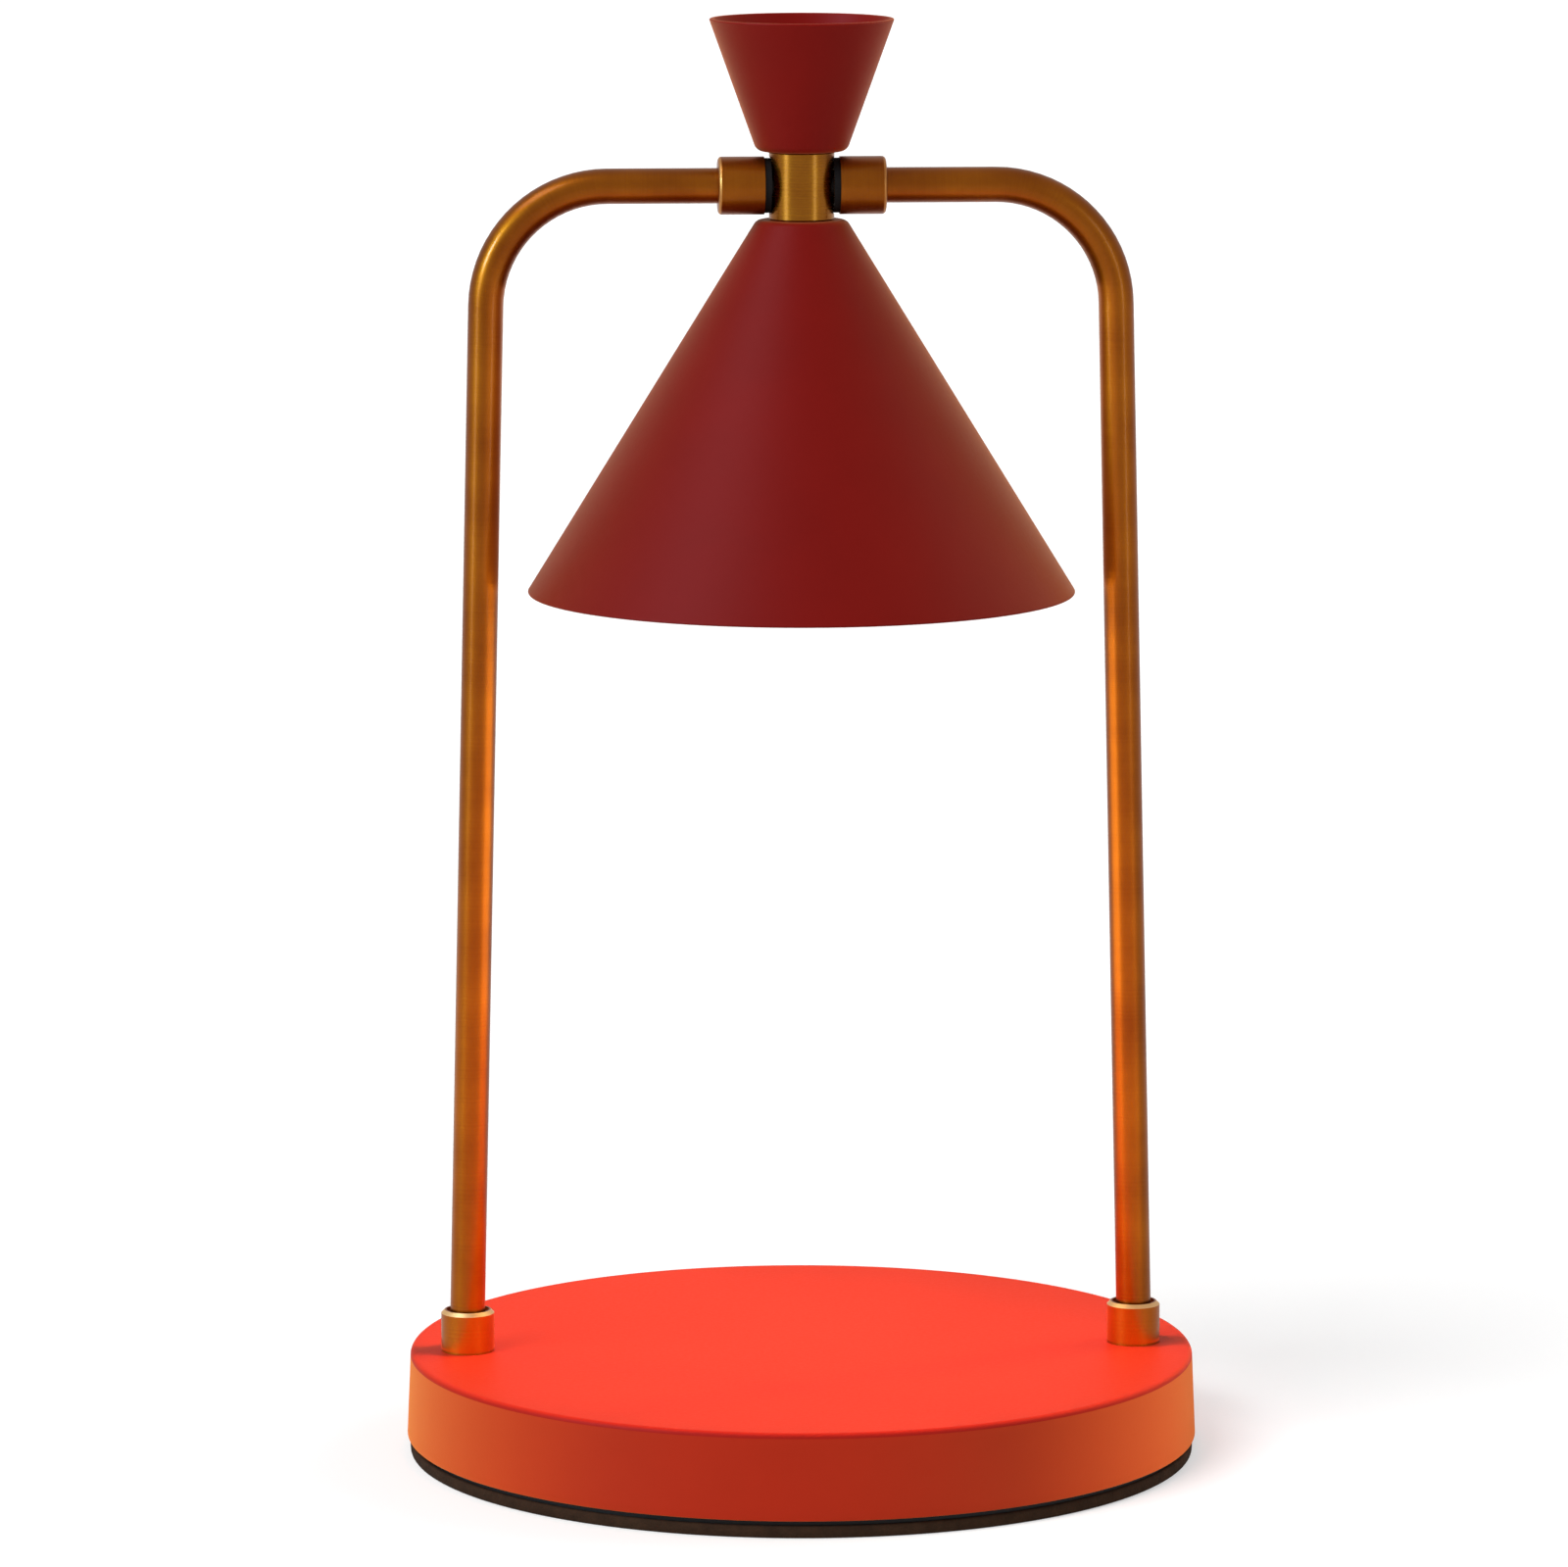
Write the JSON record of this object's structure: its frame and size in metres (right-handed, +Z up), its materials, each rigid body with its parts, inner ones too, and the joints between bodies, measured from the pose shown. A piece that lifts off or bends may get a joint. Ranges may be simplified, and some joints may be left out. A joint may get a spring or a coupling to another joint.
{
  "type": "candle warmer lamp",
  "caption": "Candle warmer lamp: weighted round base, two bent tube arms and a tilting cone shade that warms a jar candle from above.",
  "frame": {"origin": "centre of the underside of the foot pad, on the surface that the lamp stands on", "axes": "+Z up along the axis of the base and the cones, X through the two arms, +Y to the rear with the cord inlet"},
  "size_m": [0.1818, 0.1832, 0.3291],
  "materials": {
    "red_powder_coat": "matte",
    "satin_brass": "satin",
    "black_friction_disc": "matte",
    "foam_rubber": "matte",
    "black_moulding": "matte",
    "cast_iron": "matte",
    "zinc_steel": "satin",
    "black_rubber": "matte",
    "terminal_moulding": "satin",
    "steatite": "matte",
    "contact_brass": "satin",
    "lead_sleeve": "matte",
    "bulb_ceramic": "matte",
    "reflector_glass": "polished",
    "clear_glass": "polished",
    "pin_metal": "satin"
  },
  "bodies": {
    "stand": {"base_shell": "red_powder_coat", "base_cover": "black_moulding", "base_pad": "foam_rubber", "base_weight": "cast_iron", "cover_standoffs": "zinc_steel", "cover_screws": "zinc_steel", "cord_grommet": "black_rubber", "cord_clamp": "black_moulding", "cord_clamp_screws": "zinc_steel", "terminal_block": "terminal_moulding", "terminal_screw": "zinc_steel", "foot_washers": "zinc_steel", "foot_nuts": "zinc_steel", "arm_left": "satin_brass", "arm_right": "satin_brass", "foot_collar_left": "satin_brass", "foot_collar_right": "satin_brass", "pivot_collar_left": "satin_brass", "pivot_collar_right": "satin_brass", "collar_grub_screws": "zinc_steel", "pivot_stud_left": "zinc_steel", "pivot_stud_right": "zinc_steel", "friction_washer_left": "black_friction_disc", "friction_washer_right": "black_friction_disc", "arm_lead": "lead_sleeve"},
    "head": {"hub": "satin_brass", "stop_screw": "zinc_steel", "shade": "red_powder_coat", "top_cone": "red_powder_coat", "lower_nipple": "zinc_steel", "upper_nipple": "zinc_steel", "shade_washer": "zinc_steel", "top_washer": "zinc_steel", "shade_nut": "zinc_steel", "bracket_nut": "zinc_steel", "top_nut": "zinc_steel", "holder_bracket": "zinc_steel", "holder_screws": "zinc_steel", "lampholder": "steatite", "holder_contacts": "contact_brass", "head_lead": "lead_sleeve"},
    "bulb": {"bulb_pins": "pin_metal", "bulb_base": "bulb_ceramic", "bulb_reflector": "reflector_glass", "bulb_lens": "clear_glass", "bulb_capsule": "clear_glass"}
  },
  "joints": [
    {"name": "head_tilt", "type": "hinge", "parent": "stand", "child": "head", "pos_m": [0, 0, 0.2914], "axis": [1, 0, 0], "range_deg": [-45, 45]},
    {"name": "bulb_twist", "type": "hinge", "parent": "head", "child": "bulb", "pos_m": [0, 0, 0.2555], "axis": [0, 0, 1], "range_deg": [0, 22]}
  ]
}
